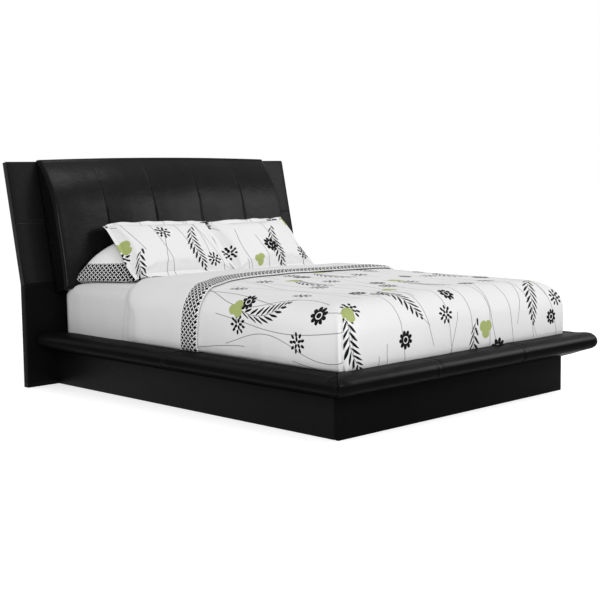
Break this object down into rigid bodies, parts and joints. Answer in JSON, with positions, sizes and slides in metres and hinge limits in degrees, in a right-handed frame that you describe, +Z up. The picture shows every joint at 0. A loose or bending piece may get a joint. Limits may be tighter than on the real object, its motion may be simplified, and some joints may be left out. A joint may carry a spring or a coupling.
{
  "type": "upholstered platform bed",
  "caption": "Upholstered platform bed with a raked padded headboard, padded ledge and plinth, dressed with mattress, sheets, duvet and pillows.",
  "frame": {"origin": "on the floor at the middle of the bounding box in plan", "axes": "+X to the right seen from the foot, +Y from foot to headboard, +Z up"},
  "size_m": [1.954, 2.3848, 1.1799],
  "materials": {
    "black_leather": "semi-gloss, fine grain",
    "backing_cloth": "matt woven backing",
    "pine": "planed, unfinished",
    "plywood": "sanded",
    "black_steel": "powder coated",
    "zinc_steel": "zinc plated",
    "glide_plastic": "matt",
    "mattress_ticking": "woven ticking",
    "white_sheet": "plain cotton",
    "lattice_hem": "black and white lattice on cotton",
    "printed_cotton": null,
    "pillowcase": "plain cotton with a lattice hem"
  },
  "bodies": {
    "root": {"centre_beam": "pine", "centre_leg_1": "pine", "centre_leg_2": "pine", "centre_leg_3": "pine", "corner_screws": "zinc_steel", "duvet": "printed_cotton", "fitted_sheet": "white_sheet", "flat_sheet": "white_sheet", "foot_ledge_board": "plywood", "foot_ledge_pad": "black_leather", "foot_ledge_ribs": "plywood", "foot_plinth_panel": "black_leather", "foot_rail": "pine", "foot_saddle": "black_steel", "head_bolts": "zinc_steel", "head_saddle": "black_steel", "headboard_bottom_rail": "pine", "headboard_fixing_rail": "pine", "headboard_kink_rail": "pine", "headboard_left_post": "pine", "headboard_left_stud": "pine", "headboard_lower_back": "backing_cloth", "headboard_lower_cover": "black_leather", "headboard_pad": "black_leather", "headboard_right_post": "pine", "headboard_right_stud": "pine", "headboard_top_rail": "pine", "headboard_upper_back": "backing_cloth", "headboard_upper_cover": "black_leather", "left_corner_block": "pine", "left_head_bracket": "black_steel", "left_ledge_board": "plywood", "left_ledge_pad": "black_leather", "left_ledge_ribs": "plywood", "left_pillow": "pillowcase", "left_plinth_panel": "black_leather", "left_sham": "printed_cotton", "left_side_rail": "pine", "left_slat_ledger": "pine", "leg_glides": "glide_plastic", "mattress": "mattress_ticking", "panel_board": "plywood", "panel_bolts": "zinc_steel", "rail_screws": "zinc_steel", "right_corner_block": "pine", "right_head_bracket": "black_steel", "right_ledge_board": "plywood", "right_ledge_pad": "black_leather", "right_ledge_ribs": "plywood", "right_pillow": "pillowcase", "right_plinth_panel": "black_leather", "right_sham": "printed_cotton", "right_side_rail": "pine", "right_slat_ledger": "pine", "sheet_hem": "lattice_hem", "slat_screws": "zinc_steel", "slats": "pine"}
  },
  "joints": []
}
